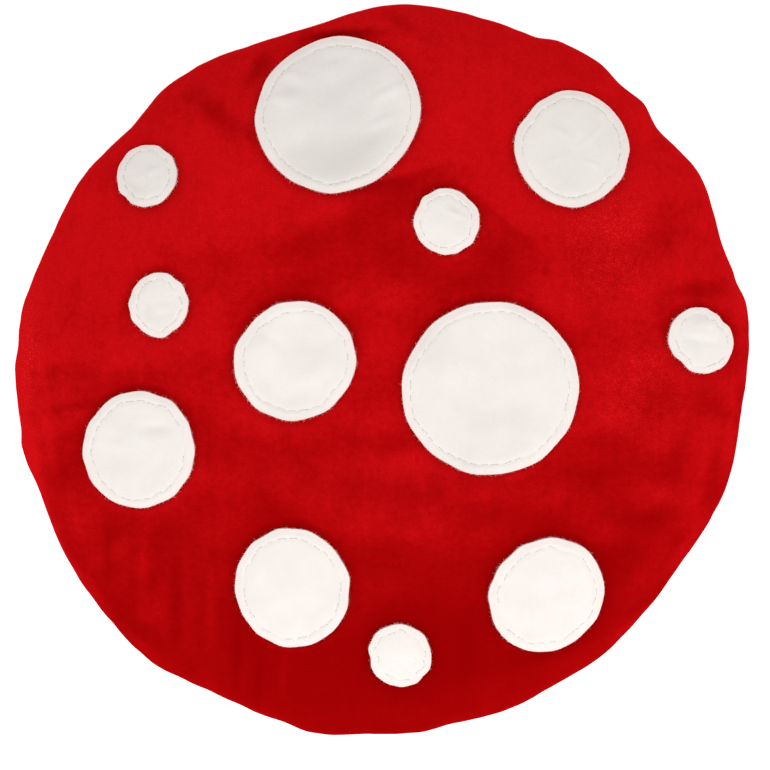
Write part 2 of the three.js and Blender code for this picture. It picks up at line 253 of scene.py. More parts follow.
def gather_dip(point, along, angle):
    """The gathers are deepest just inside the widest line, whose scallops already show them."""
    out = np.hypot(point[..., 0], point[..., 1]) / plan_radius(1, angle)
    dip = 0
    for deg, depth, spread, run in RIM_GATHERS:
        across = bell(turn_between(angle, math.radians(deg)), math.radians(spread))
        dip = dip + depth * across * ease(out, 1 - run, GATHER_PEAK)
    at_rim = 1 - (1 - GATHER_AT_RIM) * ease(out, GATHER_PEAK, 1)
    return GATHER_DEPTH * dip * at_rim * (1 - ease(along, GATHER_END, 2))


def slump_dip(x, y):
    """How deep the broad hollows of the slack top are."""
    dip = 0
    for row_x, row_y, depth, spread in SLUMPS + SOFT_HOLLOWS:
        away = np.hypot(x - row_x * CAP_RADIUS, y - row_y * CAP_RADIUS)
        dip = dip + depth * bell(away, spread * CAP_RADIUS)
    return SLUMP_DEPTH * dip


# Finer gathers between the main ones, and the puckers of the rim seam. The seam's puckers
# grow from the start to the end, and the fine gathers lose the faded share over that stretch.
FINE_GATHERS = 58
FINE_GATHER_DEPTH = 0.3 * MM
FINE_GATHER_FADE = 0.4
SEAM_PUCKERS = 150
SEAM_PUCKER_DEPTH = 0.7 * MM
PUCKER_START = 1.1
PUCKER_END = 1.9

# For each fine gather its angle, share of the depth, half width, and run in from the rim
rng = np.random.default_rng(7)
fine_gathers = [
    (
        (i + rng.uniform(-0.3, 0.3)) * 2 * math.pi / FINE_GATHERS,
        rng.uniform(0.3, 1.0),
        math.radians(rng.uniform(1.6, 2.8)),
        rng.uniform(0.1, 0.34),
    )
    for i in range(FINE_GATHERS)
]


def uneven(angle):
    """The angle round the rim, a little off, so that puckers lie at uneven distances."""
    return angle + 0.02 * np.sin(7 * angle + 1)


def fine_dip(point, along, angle):
    """How deep the fine gathers and the seam's puckers are."""
    out = np.hypot(point[..., 0], point[..., 1]) / plan_radius(1, angle)
    dip = 0
    for at, depth, spread, run in fine_gathers:
        dip = dip + depth * bell(turn_between(angle, at), spread) * ease(out, 1 - run, 1)
    seam = ease(along, PUCKER_START, PUCKER_END)
    pucker = 0.5 + 0.5 * np.sin(SEAM_PUCKERS * uneven(angle) + 2 * np.sin(11 * angle))
    gathers = FINE_GATHER_DEPTH * dip * (1 - FINE_GATHER_FADE * seam)
    return gathers + SEAM_PUCKER_DEPTH * pucker * seam


# Small waves of the top, and the pile pressed down beside a sewn spot
WAVE_DEPTH = 0.24 * MM
WAVE_SHORTEST = 28 * MM
WAVE_LONGEST = 70 * MM
PRESSED_DEPTH = 0.5 * MM
PRESSED_WIDTH = 4 * MM


def pressed(x, y):
    """1 where a spot is sewn down on the pile, falling to 0 a little way outside its edge."""
    share = np.zeros_like(x)
    for spot in SPOTS:
        beyond, _ = beyond_spot(spot, x, y)
        share = np.maximum(share, 1 - ease(beyond, 0, PRESSED_WIDTH))
    return share


def cap_skin(along, angle):
    """The outer face of the cap with all its folds."""
    point = plain_cap(along, angle)
    normal = normals_of(plain_cap, along, angle)
    x, y = point[..., 0], point[..., 1]
    pull = spot_pull(x, y)
    on_top = 1 - ease(along, ROLL_START, 1)
    dip = (gather_dip(point, along, angle) + fine_dip(point, along, angle)) * (1 - pull)
    dip += (slump_dip(x, y) + SHOWN_DIMPLE * pull) * on_top
    dip += PRESSED_DEPTH * pressed(x, y) * on_top
    dip += WAVE_DEPTH * waves(x, y, WAVE_SHORTEST, WAVE_LONGEST, count=24, seed=3) * on_top
    return point - normal * dip[..., None]


# Painted light and shade on the pile, lighter above 0 and darker below, with some brushing of the
# pile, in millimetres from the
# middle of the hat: x, y, turn in degrees, half length, fade behind, fade ahead, tone
PAINTED_LIGHT_AND_BRUSHING = [
    # The far edge of the sunken middle
    (-45, 68, 40, 42, 30, 4, -0.15),
    (5, 99, 15, 38, 26, 4, -0.75),
    (66, 76, -40, 38, 30, 4, -0.4),
    (18, 60, 90, 45, 25, 3, -0.1),
    (-38, 57, 8, 44, 14, 14, 0.4),
    (45, 47, 0, 40, 10, 8, -0.08),
    # Its near edge, and the slope in front of it
    (-55, -45, -10, 62, 36, 26, -0.35),
    (0, -38, 0, 46, 16, 14, -0.2),
    (-88, -60, 0, 28, 16, 14, 0.35),
    (-20, -62, -5, 60, 24, 22, -0.3),
    (22, -68, 0, 60, 20, 22, -0.4),
    (0, -80, 0, 32, 8, 8, -0.15),
    (58, -60, 0, 40, 10, 8, -0.25),
    (112, -46, 0, 30, 10, 10, 0.3),
    (122, -26, 0, 32, 14, 14, 0.3),
    (142, -38, 0, 20, 14, 14, 0.2),
    (150, -68, 0, 26, 12, 12, 0.25),
    (168, -78, 50, 22, 10, 10, 0.2),
    (118, -68, -28, 46, 18, 10, -0.1),
    (132, -88, 0, 22, 10, 10, 0.25),
    # The front
    (20, -145, 0, 80, 60, 36, -0.12),
    (45, -150, 88, 40, 7, 7, -0.15),
    (0, -195, 0, 80, 12, 8, -0.2),
    (60, -172, 12, 50, 14, 14, 0.1),
    (-110, -138, 128, 60, 28, 28, 0.22),
    (110, -150, 35, 40, 12, 12, 0.2),
    # Painted shade and light in streaks of the left front
    (-147, -100, 88, 22, 5, 5, -0.3),
    (-128, -105, 88, 28, 5, 5, 0.28),
    (-110, -125, 88, 40, 6, 6, -0.32),
    (-91, -130, 88, 36, 5, 5, 0.22),
    (-78, -155, 86, 30, 4, 4, -0.28),
    (-66, -165, 84, 22, 3, 3, -0.25),
    (-53, -165, 84, 22, 3, 3, 0.2),
    # Painted shade and light in patches of the back
    (-88, 137, -42, 32, 12, 11, -0.6),
    (-112, 143, 20, 20, 8, 8, -0.15),
    (-67, 162, 60, 20, 10, 8, -0.6),
    (-70, 124, -60, 12, 6, 6, -0.4),
    (-22, 181, 3, 38, 7, 5, -1.0),
    (12, 186, -30, 22, 8, 8, -0.35),
    (35, 135, 60, 30, 18, 18, 0.12),
    (-75, 100, 30, 30, 15, 15, 0.1),
    (112, 68, 80, 40, 26, 26, -0.15),
    (150, 76, 60, 34, 18, 16, -0.3),
    (0, 14, 90, 42, 14, 14, 0.14),
    (131, -6, 90, 24, 18, 18, 0.18),
    # Painted sheen along the edges of the rim, on the left and on the right
    (-195, 15, 90, 60, 8, 8, 0.9),
    (-188, 46, 72, 30, 6, 6, 0.4),
    (-190, -48, 102, 40, 10, 10, 0.9),
    (-180, -85, 112, 30, 6, 6, 0.55),
    (-160, -118, 128, 38, 7, 7, 0.4),
    (-130, -150, 138, 26, 5, 5, 0.3),
    (196, 12, 92, 45, 6, 6, 0.35),
    (188, -45, 78, 42, 10, 8, 0.55),
    (168, -93, 55, 38, 9, 9, 0.5),
    (132, -141, 42, 33, 7, 7, 0.3),
    # The slopes inside them
    (-158, -98, 118, 55, 26, 26, 0.35),
    (-184, 2, 90, 16, 9, 9, 0.5),
    (-170, -27, 12, 22, 8, 6, 0.3),
    (152, -44, 65, 58, 30, 28, 0.12),
    (170, -55, 75, 38, 16, 16, 0.5),
    (184, -18, 90, 22, 12, 12, 0.35),
    (190, -15, 90, 14, 8, 8, 0.5),
    (-182, -26, 90, 16, 10, 10, 0.4),
    (150, -96, 50, 50, 18, 16, 0.35),
    (138, -120, 45, 36, 14, 14, 0.25),
    # Painted shade and light in creases of the left side, and painted shade around the small spot on
    # the right
    (-179, -46, 92, 20, 8, 8, 0.45),
    (-170, -20, 12, 26, 4, 3, -0.25),
    (-167, 37, 75, 24, 9, 9, -0.3),
    (172, 42, 5, 28, 8, 10, -0.5),
    (155, 72, 40, 16, 9, 9, -0.2),
]

# Painted glints where the tips of the pile catch the light, with the same columns
PAINTED_GLINTS = [
    (120, 65, 90, 48, 36, 36, 1.3), (138, -10, 80, 44, 34, 34, 1.1), (-191, 8, 90, 60, 12, 12, 0.9),
]

# Painted shade in creases, too dark for a mark in the table of painted light and brushing, with the
# same columns
PAINTED_CREASE_SHADE = [(-24, 183, 2, 26, 4, 5, 0.15), (-64, 163, 58, 16, 8, 6, 0.1)]

# Painted shadow along a spot's edge, where the pile is also pressed down: how much darker the pile
# is painted there, how much less that is on its far side, and the distance over which it fades.
# Towards the back rim the far side turns from less to more.
EDGE_SHADOW_SHARE = 0.36
EDGE_SHADOW_FAR = 0.06
EDGE_SHADOW_FADE = 2.3 * MM
BACK_START = 140 * MM
BACK_END = 175 * MM


def by_rows(rows, x, y):
    """Sums soft-edged patches, each with its own turn and its own fade on each side."""
    total = np.zeros_like(x)
    for row_x, row_y, turn, half, behind, ahead, tone in rows:
        dx, dy = x - row_x * MM, y - row_y * MM
        cos, sin = math.cos(math.radians(turn)), math.sin(math.radians(turn))
        along, across = dx * cos + dy * sin, dy * cos - dx * sin
        side = np.where(across > 0, bell(across, ahead * MM), bell(across, behind * MM))
        total = total + tone * bell(along, half * MM) * side
    return total


def painted_edge_shadow(x, y):
    """The painted shadow in the pile along a spot's edge."""
    shade = np.zeros_like(x)
    for spot in SPOTS:
        beyond, around = beyond_spot(spot, x, y)
        far = np.maximum(np.sin(around), 0) * (1 - 2 * ease(y, BACK_START, BACK_END))
        side = EDGE_SHADOW_SHARE - EDGE_SHADOW_FAR * far
        shade = np.maximum(shade, side * np.exp(-np.maximum(beyond, 0) / EDGE_SHADOW_FADE))
    return shade


def keep_numbers(piece, name, values):
    """Stores one number for each point of a piece, for its material."""
    layer = piece.data.attributes.new(name, "FLOAT", "POINT")
    layer.data.foreach_set("value", np.asarray(values, float))


def paint_velour_light(piece):
    """Gives the velour its painted light and shade with some brushing, its painted glints and the
    painted shadow along the spots' edges.
    """
    points = np.empty(len(piece.data.vertices) * 3)
    piece.data.vertices.foreach_get("co", points)
    x, y, _ = points.reshape(-1, 3).T
    keep_numbers(piece, "painted_light_and_brushing", by_rows(PAINTED_LIGHT_AND_BRUSHING, x, y))
    # Painted shadow along the spots' edges, with painted shade in creases
    edge_shadow = painted_edge_shadow(x - plan_shift[0], y - plan_shift[1])
    keep_numbers(piece, "pressed", edge_shadow + by_rows(PAINTED_CREASE_SHADE, x, y))
    keep_numbers(piece, "painted_glints", by_rows(PAINTED_GLINTS, x, y))


def new_piece(name, points, faces, smooth=True):
    """A mesh object from numbers."""
    mesh = bpy.data.meshes.new(name)
    mesh.from_pydata(np.asarray(points).tolist(), [], [list(f) for f in faces])
    mesh.validate()
    mesh.polygons.foreach_set("use_smooth", [smooth] * len(mesh.polygons))
    piece = bpy.data.objects.new(name, mesh)
    bpy.context.scene.collection.objects.link(piece)
    return piece


class Skin:
    """Collects rings of points, joined one to the next, into one mesh."""

    def __init__(self):
        self.points = []
        self.faces = []
        self.count = 0
        self.last = None

    def ring(self, points):
        """Adds a ring. One point is a pole. A ring may have twice or half as many points as
        the one before it."""
        points = np.atleast_2d(points)
        start, size = self.count, len(points)
        self.points.append(points)
        self.count += size
        if self.last is not None:
            self.join(*self.last, start, size)
        self.last = (start, size)

    def join(self, a, many_a, b, many_b):
        """Adds the faces between the ring that starts at point a and the one at point b."""
        if many_a == 1:
            self.faces += [(a, b + k, b + (k + 1) % many_b) for k in range(many_b)]
        elif many_b == 1:
            self.faces += [(a + (k + 1) % many_a, a + k, b) for k in range(many_a)]
        else:
            coarse = min(many_a, many_b)
            step_a, step_b = many_a // coarse, many_b // coarse
            for k in range(coarse):
                side_a = [a + (k * step_a + i) % many_a for i in range(step_a + 1)]
                side_b = [b + (k * step_b + i) % many_b for i in range(step_b + 1)]
                self.faces.append(side_a[::-1] + side_b)

    def close(self, first):
        """Joins the last ring back to the first one, for a ring-shaped skin."""
        self.join(*self.last, *first)

    def piece(self, name):
        return new_piece(name, np.concatenate(self.points), self.faces)


def steps_round(count):
    """Angles once round."""
    return np.arange(count) / count * 2 * math.pi


# How finely the cap is meshed: points round, rings out to the widest line and round the roll,
# the same for its inner face, and the radii within which fewer points go round
ROUND_STEPS = 600
DOME_STEPS = 130
ROLL_STEPS = 16
INSIDE_ROUND = 150
INSIDE_STEPS = 30
RING_STEPS = [(17 * MM, 75), (34 * MM, 150), (68 * MM, 300)]

# How far the top panel's edge is turned up and in at the rim seam
LIP_RISE = 0.7 * MM
LIP_TUCK = 0.8 * MM


def steps_at(radius):
    """How many points go round at a radius."""
    return next((count for limit, count in RING_STEPS if radius < limit), ROUND_STEPS)


def cap_lining(along, angle):
    """The inner face of the cap, one wall in from the outer one."""
    return cap_skin(along, angle) - normals_of(cap_skin, along, angle) * CLOTH_WALL


def make_cap_top():
    """The top panel: out over the top, round the roll to the seam, and back inside."""
    skin = Skin()
    near_middle = np.array([1e-3])
    middle = cap_skin(near_middle, np.zeros(1))[0]
    skin.ring(middle)
    for i in range(1, DOME_STEPS + 1):
        along = i / DOME_STEPS
        share = 1 - (1 - along) ** SHOULDER_FULLNESS
        angle = steps_round(steps_at(share * CAP_RADIUS))
        skin.ring(cap_skin(np.full_like(angle, along), angle))
    angle = steps_round(ROUND_STEPS)
    for i in range(1, ROLL_STEPS + 1):
        skin.ring(cap_skin(np.full_like(angle, 1 + i / ROLL_STEPS), angle))
    turned_in = cap_skin(np.full_like(angle, 2.0), angle)
    turned_in[:, 2] += LIP_RISE
    turned_in[:, :2] *= 1 - LIP_TUCK / CAP_RADIUS
    skin.ring(turned_in)
    for share, count in ((1, ROUND_STEPS // 2), (0.75, INSIDE_ROUND), (0.25, INSIDE_ROUND)):
        angle = steps_round(count)
        skin.ring(cap_lining(np.full_like(angle, 1 + share), angle))
    angle = steps_round(INSIDE_ROUND)
    for i in range(INSIDE_STEPS, 0, -1):
        skin.ring(cap_lining(np.full_like(angle, i / INSIDE_STEPS), angle))
    skin.ring(middle - np.array([0, 0, CLOTH_WALL]))
    return skin.piece("velour_cap_top")


def recentre(piece, shift):
    """Moves a piece's mesh in plan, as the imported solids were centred."""
    for vertex in piece.data.vertices:
        vertex.co.x += shift[0]
        vertex.co.y += shift[1]


def clothe(piece, node, material):
    """Puts a piece in its node's place, on the hat's one body."""
    piece.data.materials.append(material)
    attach(piece, "root")
    if node:
        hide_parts(node)
    return piece


# Puckers along the lower panel's outer edge
UNDER_PUCKER = 0.3 * MM


def under_face(share, angle, lift):
    """The lower panel's face: share 0 at the head band to 1 at the rim seam."""
    inner = HEAD_OPENING / 2 + BAND_WALL + SEWING_GAP
    outer = plan_radius(1, angle) - SEAM_TUCK - SEWING_GAP
    radius = inner + (outer - inner) * share
    curl = np.clip((radius - (outer - CURL_WIDTH)) / CURL_WIDTH, 0, 1)
    ripple = np.sin(SEAM_PUCKERS * uneven(angle))
    height = lift + SEAM_HEIGHT * curl**2
    height = height + UNDER_PUCKER * curl**3 * (1 - ripple)
    return np.stack([radius * np.cos(angle), radius * np.sin(angle), height], -1)


# How far the head band leans in at its top, as a share, and how soft it stands there
BAND_LEAN = 0.02
BAND_SLACK = 0.5 * MM
BAND_WAVE = 0.4 * MM


def band_face(share, angle, outward):
    """The head band's face: share 0 at the table to 1 at its top."""
    lean = BAND_LEAN * (1 - np.cos(share * math.pi / 2))
    radius = HEAD_OPENING / 2 * (1 - lean) + outward
    radius = radius + BAND_SLACK * share * np.sin(3 * angle + 0.6)
    height = BAND_HEIGHT * share + BAND_WAVE * share * np.sin(5 * angle)
    return np.stack([radius * np.cos(angle), radius * np.sin(angle), height], -1)


def make_ring(name, face, round_steps, shares, there, back):
    """A ring-shaped piece that goes out along one face and comes back along the other."""
    skin = Skin()
    angle = steps_round(round_steps)
    for share in shares:
        skin.ring(face(np.full_like(angle, share), angle, there))
    for share in shares[::-1]:
        skin.ring(face(np.full_like(angle, share), angle, back))
    skin.close((0, round_steps))
    return skin.piece(name)


def make_cap_under():
    """The lower panel, with more rings where it curls."""
    shares = np.concatenate([np.linspace(0, 0.8, 12), np.linspace(0.82, 1, 14)])
    return make_ring("velour_cap_under", under_face, 480, shares, there=CLOTH_WALL, back=0)


def make_head_band():
    """The upright ring around the head opening."""
    shares = np.linspace(0, 1, 25)
    return make_ring("velour_head_band", band_face, 300, shares, there=0.0, back=BAND_WALL)


# How far inside its edge a spot is sewn on, by its size, and how far that line strays
SEWN_IN = {LARGE_SPOT: 5.2 * MM, MEDIUM_SPOT: 5 * MM, SMALL_SPOT: 3.9 * MM}
SEWN_SLIP = 0.36 * MM

# The running stitch: its pitch, the share of it that shows on top, and the share of the
# stitches that sink into the felt
STITCH_PITCH = 6.3 * MM
STITCH_SHOWN = 0.6
STITCH_HIDDEN = 0.12
THREAD_RADIUS = 0.17 * MM

# How deep the flats are that scissors leave on a spot's edge
SCISSOR_SLIP = 0.1 * MM


class CapTree:
    """Finds the finished cap's face, with rays from well above the hat."""

    ABOVE = 200 * MM

    def __init__(self, piece):
        mesh = piece.data
        points = np.empty(len(mesh.vertices) * 3)
        mesh.vertices.foreach_get("co", points)
        faces = [tuple(p.vertices) for p in mesh.polygons]
        self.tree = BVHTree.FromPolygons([Vector(p) for p in points.reshape(-1, 3)], faces)

    def land(self, x, y):
        """Points and normals of the cap at arrays of places, given before the hat is centred."""
        x, y = x + plan_shift[0], y + plan_shift[1]
        heights = np.empty(len(x))
        normals = np.empty((len(x), 3))
        down = Vector((0, 0, -1))
        for i in range(len(x)):
            place, normal, _, _ = self.tree.ray_cast(Vector((x[i], y[i], self.ABOVE)), down)
            heights[i] = place.z
            normals[i] = normal
        return np.stack([x, y, heights], -1), normals


def cut_radius(spot, number, angle):
    """The spot's outline with the small flats that scissors leave."""
    dice = np.random.default_rng(40 + number)
    edge = spot_radius(spot, angle)
    for sides in range(6, 15):
        edge = edge + SCISSOR_SLIP * dice.uniform(0.3, 1.3) * np.cos(
            sides * angle + dice.uniform(0, 2 * math.pi)
        )
    return edge


def stitch_line(spot, number, angle):
    """Distance of the sewing line in from the spot's edge."""
    dice = np.random.default_rng(90 + number)
    line = SEWN_IN[spot.cut]
    for sides in (1, 2, 3, 5, 9):
        line = line + SEWN_SLIP * dice.uniform(0.2, 1) * np.cos(
            sides * angle + dice.uniform(0, 2 * math.pi)
        )
    return line


# Soft creases and hollows of the felt: x and y from the spot's middle, turn in degrees, half
# length, fade behind, fade ahead, height, in millimetres
FELT_FOLDS = {
    "spot_large_back": [
        (-26, 21, -15, 16, 6, 4, 0.7), (-31, 8, -12, 14, 5, 4, 0.6), (28, 11, 28, 16, 5, 4, 0.7),
        (22, -6, 25, 16, 5, 4, 0.6), (2, 26, 20, 22, 9, 7, 0.5),
    ],
    "spot_large_middle": [
        (-25, 22, 35, 26, 12, 9, -0.6), (10, 18, -10, 20, 8, 6, 0.3), (4, -20, 12, 24, 9, 9, 0.4),
    ],
    "spot_medium_back": [
        (-5, 8, -30, 10, 3, 2.5, 0.35), (6, 3, 35, 10, 3, 2.5, 0.35),
        (-8, -6, 20, 9, 3, 2.5, 0.3), (10, -8, -25, 9, 3, 2.5, 0.3), (14, 10, 40, 8, 3, 2.5, 0.3),
    ],
    "spot_medium_middle": [(-14, 13, -35, 16, 5, 4, -0.4), (6, -8, 15, 16, 7, 6, 0.3)],
    "spot_medium_left": [(8, 11, 0, 14, 6, 4, -0.5), (-10, 2, -10, 14, 5, 5, 0.4)],
    "spot_medium_front_left": [(-4, 6, 30, 14, 6, 5, 0.2)],
    "spot_medium_front_right": [(3, 10, -15, 14, 6, 5, 0.25)],
    "spot_small_back_left": [(1, 1, 25, 10, 3.5, 2.5, 0.5)],
    "spot_small_back": [(4, 4, -25, 9, 2.5, 2, 0.6)],
    "spot_small_left": [(2, -2, 15, 9, 4, 3, 0.35)],
    "spot_small_right": [(0, 3, -8, 12, 4, 4, 0.7)],
    "spot_small_front": [(-1, 2, 10, 9, 4, 4, 0.2)],
}

# Painted shade on the felt: x, y, turn in degrees, half length, fade behind,
# fade ahead, share, in millimetres from the middle of the hat
FELT_SHADES = [
    (-26, 110, 5, 38, 16, 20, 0.6), (-5, 121, 30, 24, 10, 12, 0.3), (-48, 149, -10, 12, 4, 4, 0.3),
    (28, 16, 40, 26, 10, 12, 0.3), (100, 128, 0, 14, 5, 5, 0.15), (-120, -32, 0, 14, 5, 4, 0.4),
    (170, 27, 0, 14, 6, 5, 0.5), (170, 14, -8, 12, 3, 2.5, 0.3), (-133, 97, -40, 10, 5, 4, 0.3),
    (-124, 32, 90, 10, 4, 4, 0.2), (39, 84, -30, 9, 3, 2, 0.25), (-66, 16, 45, 14, 6, 8, 0.2),
]

# How the felt's height is built up: the shares of its wall at the foot of the cut, over the
# rounded cut edge and over the rise behind it
CUT_EDGE = 0.1 * MM
RISE_WIDTH = 4 * MM
FOOT_SHARE = 0.1
EDGE_SHARE = 0.6
RISE_SHARE = 0.3

# The channel that the thread pulls in, and how much less it does between two stitches
CHANNEL_DEPTH = 0.34 * MM
CHANNEL_WIDTH = 0.85 * MM
PINCH = 0.25

# Waves of the felt outside the sewing line and inside it, and how far it puffs up there, with
# the distances past that line over which each sets in
FLANGE_WAVE = 0.12 * MM
MIDDLE_WAVE = 0.12 * MM
WAVE_IN = (0.8 * MM, 7 * MM)
PUFF = 0.12 * MM
PUFF_IN = 4 * MM
FOLDS_IN = (-1 * MM, 3 * MM)


def felt_height(spot, number, inside, angle, x, y, stitches):
    """Height of the felt's upper face above its lower one."""
    line = stitch_line(spot, number, angle)
    rounded = np.sqrt(np.clip(1 - (1 - np.clip(inside / CUT_EDGE, 0, 1)) ** 2, 0, 1))
    rise = ease(inside, 0, RISE_WIDTH)
    height = FELT_WALL * (FOOT_SHARE + EDGE_SHARE * rounded + RISE_SHARE * rise)
    flange = 1 - ease(inside, 0, line)
    ripple = waves(x, y, 9 * MM, 25 * MM, count=8, seed=200 + number)
    height = height + flange * FLANGE_WAVE * ripple
    phase = np.mod(angle / (2 * math.pi) * stitches, 1)
    pinch = 1 - PINCH + PINCH * np.cos(2 * math.pi * (phase - STITCH_SHOWN / 2) + math.pi)
    height = height - CHANNEL_DEPTH * np.exp(-(((inside - line) / CHANNEL_WIDTH) ** 2)) * pinch
    within = ease(inside, line + WAVE_IN[0], line + WAVE_IN[1])
    puff = ease(inside, line, line + PUFF_IN) * (1 - 0.5 * within)
    height = height + PUFF * puff
    swell = waves(x, y, 14 * MM, 40 * MM, count=14, seed=300 + number)
    height = height + MIDDLE_WAVE * within * swell
    middle = spot_middle(spot)
    folds = by_rows(FELT_FOLDS[spot.node], x - middle[0], y - middle[1]) * MM
    return height + folds * ease(inside, line + FOLDS_IN[0], line + FOLDS_IN[1])


def spot_points(spot, number, cap, share, angle, stitches, upper):
    """One ring of a felt spot, seen from above, on its upper or lower face."""
    middle = spot_middle(spot)
    edge = cut_radius(spot, number, angle)
    radius = edge * share
    x = middle[0] + radius * np.cos(angle)
    y = middle[1] + radius * np.sin(angle)
    points, normals = cap.land(x, y)
    lift = FELT_LIFT
    if upper:
        lift = lift + felt_height(spot, number, edge - radius, angle, x, y, stitches)
    return points + normals * np.reshape(lift, (-1, 1))


# How finely a spot is meshed: points round its edge, rings at the cut, at the sewing line and
# within it down to the innermost one, the share of the radius inside which fewer points go
# round, and its lower rings
EDGE_STEP = 1.25 * MM
CUT_RINGS = (0, 0.02, 0.06, 0.2)
FINE_STEP = 0.45 * MM
FINE_WIDTH = 8 * MM
COARSE_STEP = 1.3 * MM
INNERMOST = 2 * MM
COARSE_WITHIN = 0.3
LOWER_SHARES = (0.985, 0.75, 0.4)


def spot_shares(spot):
    """Rings of a spot, closer together at its edge and its sewing line."""
    radius = spot.cut / 2
    cut = np.array(CUT_RINGS) * MM
    fine = np.concatenate([cut, np.arange(FINE_STEP, FINE_WIDTH, FINE_STEP)])
    coarse = np.arange(FINE_WIDTH, radius - INNERMOST, COARSE_STEP)
    return 1 - np.concatenate([fine, coarse])[::-1] / radius


def stitch_count(spot):
    return round(2 * math.pi * (spot.cut / 2 - SEWN_IN[spot.cut]) / STITCH_PITCH)


# How far the painted light of the cut edge reaches into a spot: most of it fades over the first
# distance, and its glow, a small share, over the second
EDGE_LIGHT_FADE = 0.75 * MM
GLOW_FADE = 3 * MM
GLOW_SHARE = 0.1


def make_spot(spot, number, cap):
    """A felt disc that follows the cap."""
    stitches = stitch_count(spot)
    around = int(math.pi * spot.cut / EDGE_STEP) // 4 * 4
    skin = Skin()

    def ring(share, count, upper):
        skin.ring(spot_points(spot, number, cap, share, steps_round(count), stitches, upper))

    ring(0.0, 1, True)
    for share in spot_shares(spot):
        ring(share, around if share > COARSE_WITHIN else around // 4, True)
    for share in LOWER_SHARES:
        ring(share, around if share == LOWER_SHARES[0] else around // 4, False)
    ring(0.0, 1, False)
    piece = skin.piece("felt_" + spot.node)
    points = np.concatenate(skin.points)
    middle = np.array(spot_middle(spot)) + plan_shift
    dx, dy = points[:, 0] - middle[0], points[:, 1] - middle[1]
    inside = cut_radius(spot, number, np.arctan2(dy, dx)) - np.hypot(dx, dy)
    inside = np.maximum(inside, 0)
    # Painted light of the cut edge, paler and pinker, fading in from the edge
    edge = (1 - GLOW_SHARE) * np.exp(-inside / EDGE_LIGHT_FADE) + GLOW_SHARE * np.exp(-inside / GLOW_FADE)
    # Painted shade of the felt
    keep_numbers(piece, "shade", by_rows(FELT_SHADES, points[:, 0], points[:, 1]))
    keep_numbers(piece, "cut", edge)
    return piece


def tube(path, normals, radius, sides):
    """Points and faces of a thin closed tube along a path, with a face on top."""
    path = np.asarray(path)
    along = np.gradient(path, axis=0)
    along /= np.linalg.norm(along, axis=1, keepdims=True) + 1e-12
    across = np.cross(along, normals)
    across /= np.linalg.norm(across, axis=1, keepdims=True) + 1e-12
    upward = np.cross(across, along)
    turn = steps_round(sides) + math.pi / 2 + math.pi / sides
    radius = np.broadcast_to(radius, len(path))
    rings = path[:, None] + radius[:, None, None] * (
        np.cos(turn)[None, :, None] * across[:, None] + np.sin(turn)[None, :, None] * upward[:, None]
    )
    points = rings.reshape(-1, 3)
    faces = []
    for i in range(len(path) - 1):
        for k in range(sides):
            a, b = i * sides + k, i * sides + (k + 1) % sides
            faces.append((a, b, b + sides, a + sides))
    faces.append(tuple(range(sides))[::-1])
    last = (len(path) - 1) * sides
    faces.append(tuple(range(last, last + sides)))
    return points, faces


def merge(name, parts, smooth=True):
    """One mesh object from many small sets of points and faces."""
    points, faces, start = [], [], 0
    for part_points, part_faces in parts:
        points.append(part_points)
        faces += [tuple(start + i for i in face) for face in part_faces]
        start += len(part_points)
    return new_piece(name, np.concatenate(points), faces, smooth)


# How finely a stitch is meshed, how far its ends run on, and how high its thread bows
BAR_POINTS = 9
BAR_SIDES = 6
BAR_ENDS = 0.06
BAR_BOW = 1.3


def make_stitches(spot, number, cap):
    """The thread that shows on top: one short bar for each stitch, with its ends sunk in."""
    stitches = stitch_count(spot)
    dice = np.random.default_rng(500 + number)
    middle = spot_middle(spot)
    to_ends = np.linspace(-1, 1, BAR_POINTS)
    bow = np.sin(np.linspace(0, math.pi, BAR_POINTS))
    parts, hole_shadows = [], []
    for k in range(stitches):
        if dice.random() < STITCH_HIDDEN:
            continue
        shown = STITCH_SHOWN * dice.uniform(0.45, 1.15)
        span = np.linspace(-BAR_ENDS, shown + BAR_ENDS, BAR_POINTS) + dice.uniform(-0.15, 0.2)
        angle = (k + span) / stitches * 2 * math.pi
        edge = cut_radius(spot, number, angle)
        line = stitch_line(spot, number, angle)
        slant = to_ends * dice.normal(0, 0.16) * MM
        share = (edge - line + slant + dice.uniform(-0.2, 0.2) * MM) / edge
        x = middle[0] + edge * share * np.cos(angle)
        y = middle[1] + edge * share * np.sin(angle)
        ground, normals = cap.land(x, y)
        lift = felt_height(spot, number, edge * (1 - share), angle, x, y, stitches) + FELT_LIFT
        sunk = dice.uniform(0.5, 1.0)
        lift = lift + THREAD_RADIUS * (BAR_BOW * bow - sunk)
        path = ground + normals * lift[:, None]
        parts.append(tube(path, normals, THREAD_RADIUS, BAR_SIDES))
        # Painted shadow at the bar's sunk ends
        hole_shadows.append(np.repeat(np.abs(to_ends) ** 3, BAR_SIDES))
    piece = merge("stitches_" + spot.node, parts)
    keep_numbers(piece, "hole_shadow", np.concatenate(hole_shadows))
    return piece


# The loose fibres of a cut edge: one each so far round it, how far in they start, how thick
# they are and how that tapers, how much they sag, and how much of the cut edge's painted light they
# get
FIBRE_GAP = 0.16 * MM
FIBRE_ROOTS = 0.5 * MM
FIBRE_RADIUS = 0.03 * MM
FIBRE_TAPER = (1, 0.85, 0.4)
FIBRE_SAG = 0.35
FUZZ_GLOW = 0.6


